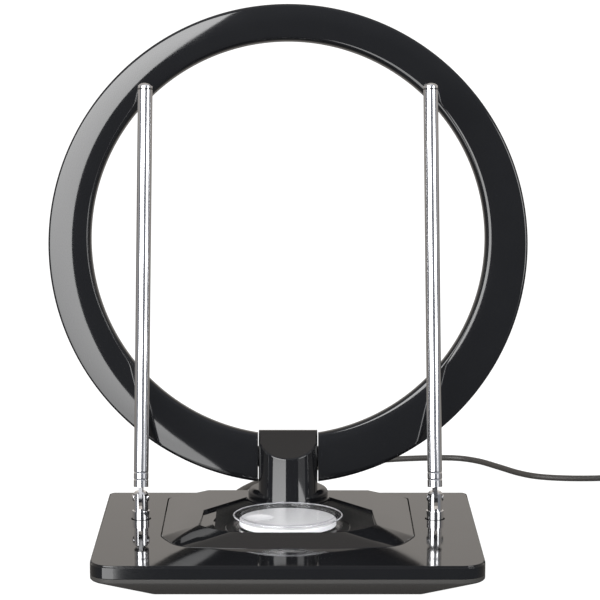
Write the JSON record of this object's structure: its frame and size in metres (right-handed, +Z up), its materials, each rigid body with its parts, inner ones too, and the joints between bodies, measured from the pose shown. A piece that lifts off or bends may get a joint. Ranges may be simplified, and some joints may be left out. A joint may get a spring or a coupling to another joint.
{
  "type": "rabbit ears antenna",
  "caption": "Indoor television antenna with a hinged gloss loop, telescopic rods on swivel forks, a gain knob on a flat base, and a coax lead.",
  "frame": {"origin": "on the table, at the underside of the non-slip pad, under the middle of the base", "axes": "+Z up, -Y towards the front with the knob, +X to the right seen from the front"},
  "size_m": [0.3416, 0.3123, 0.2587],
  "materials": {
    "gloss_black": "polished",
    "chrome": "bright plated",
    "clear": "clear acrylic",
    "white_plastic": "satin",
    "steel": "zinc plated",
    "rubber": "matte",
    "cable_jacket": "satin",
    "matte_black": "matte",
    "board_green": "satin",
    "brass": "plain"
  },
  "bodies": {
    "base": {"base_top_cover": "gloss_black", "base_bottom_cover": "gloss_black", "centre_platform": "gloss_black", "base_pad": "rubber", "cover_screws": "steel", "ballast_plate": "steel", "amplifier_board": "board_green", "board_screws": "steel", "shield_can": "steel", "gain_control": "matte_black", "dc_socket": "matte_black", "cable_gland": "rubber", "rod_bushes": "matte_black", "rod_contacts": "brass", "coax_cable": "cable_jacket", "cable_coil": "cable_jacket", "cable_tie": "matte_black", "plug_grip": "rubber", "plug_sleeve": "steel", "plug_core": "white_plastic", "plug_pin": "steel"},
    "knob": {"knob_cap": "clear", "knob_disc": "white_plastic", "knob_shaft": "steel"},
    "neck": {"turntable_disc": "gloss_black", "turntable_retainer": "steel", "retainer_screws": "steel", "neck_front_shell": "gloss_black", "neck_rear_shell": "gloss_black", "neck_screws": "steel", "friction_washers": "matte_black"},
    "loop": {"loop_front_shell": "gloss_black", "loop_rear_shell": "gloss_black", "loop_conductor": "brass", "hinge_pin": "steel"},
    "left_fork": {"left_swivel_fork": "chrome", "left_swivel_clip": "steel", "left_pivot_rivet": "chrome"},
    "left_rod": {"left_rod_foot": "chrome", "left_rod_tube": "chrome"},
    "left_stage_2": {"left_section_2": "chrome"},
    "left_stage_3": {"left_section_3": "chrome"},
    "left_stage_4": {"left_section_4": "chrome"},
    "left_stage_5": {"left_section_5": "chrome", "left_tip_cap": "chrome"},
    "right_fork": {"right_swivel_fork": "chrome", "right_swivel_clip": "steel", "right_pivot_rivet": "chrome"},
    "right_rod": {"right_rod_foot": "chrome", "right_rod_tube": "chrome"},
    "right_stage_2": {"right_section_2": "chrome"},
    "right_stage_3": {"right_section_3": "chrome"},
    "right_stage_4": {"right_section_4": "chrome"},
    "right_stage_5": {"right_section_5": "chrome", "right_tip_cap": "chrome"}
  },
  "joints": [
    {"name": "knob_turn", "type": "hinge", "parent": "base", "child": "knob", "pos_m": [0, -0.003, 0.0182], "axis": [0, 0, 1], "range_deg": [-140, 140]},
    {"name": "neck_swivel", "type": "hinge", "parent": "base", "child": "neck", "pos_m": [0, 0.0465, 0.0227], "axis": [0, 0, 1], "range_deg": [-11, 11]},
    {"name": "loop_tilt", "type": "hinge", "parent": "neck", "child": "loop", "pos_m": [0, 0.046, 0.0424], "axis": [-1, 0, 0], "range_deg": [-4, 70]},
    {"name": "left_rod_swivel", "type": "hinge", "parent": "base", "child": "left_fork", "pos_m": [-0.0697, 0.0179, 0.0285], "axis": [0, 0, 1], "continuous": true},
    {"name": "left_rod_tilt", "type": "hinge", "parent": "left_fork", "child": "left_rod", "pos_m": [-0.0697, 0.0179, 0.0285], "axis": [0.9976, -0.0698, 0], "range_deg": [-4, 95]},
    {"name": "left_slide_2", "type": "slide", "parent": "left_rod", "child": "left_stage_2", "axis": [0.0106, 0.1509, 0.9885], "range_m": [0, 0.164]},
    {"name": "left_slide_3", "type": "slide", "parent": "left_stage_2", "child": "left_stage_3", "axis": [0.0106, 0.1509, 0.9885], "range_m": [0, 0.162]},
    {"name": "left_slide_4", "type": "slide", "parent": "left_stage_3", "child": "left_stage_4", "axis": [0.0106, 0.1509, 0.9885], "range_m": [0, 0.16]},
    {"name": "left_slide_5", "type": "slide", "parent": "left_stage_4", "child": "left_stage_5", "axis": [0.0106, 0.1509, 0.9885], "range_m": [0, 0.158]},
    {"name": "right_rod_swivel", "type": "hinge", "parent": "base", "child": "right_fork", "pos_m": [0.0697, 0.0179, 0.0285], "axis": [0, 0, -1], "continuous": true},
    {"name": "right_rod_tilt", "type": "hinge", "parent": "right_fork", "child": "right_rod", "pos_m": [0.0697, 0.0179, 0.0285], "axis": [0.9976, 0.0698, 0], "range_deg": [-4, 95]},
    {"name": "right_slide_2", "type": "slide", "parent": "right_rod", "child": "right_stage_2", "axis": [-0.0106, 0.1509, 0.9885], "range_m": [0, 0.164]},
    {"name": "right_slide_3", "type": "slide", "parent": "right_stage_2", "child": "right_stage_3", "axis": [-0.0106, 0.1509, 0.9885], "range_m": [0, 0.162]},
    {"name": "right_slide_4", "type": "slide", "parent": "right_stage_3", "child": "right_stage_4", "axis": [-0.0106, 0.1509, 0.9885], "range_m": [0, 0.16]},
    {"name": "right_slide_5", "type": "slide", "parent": "right_stage_4", "child": "right_stage_5", "axis": [-0.0106, 0.1509, 0.9885], "range_m": [0, 0.158]}
  ]
}
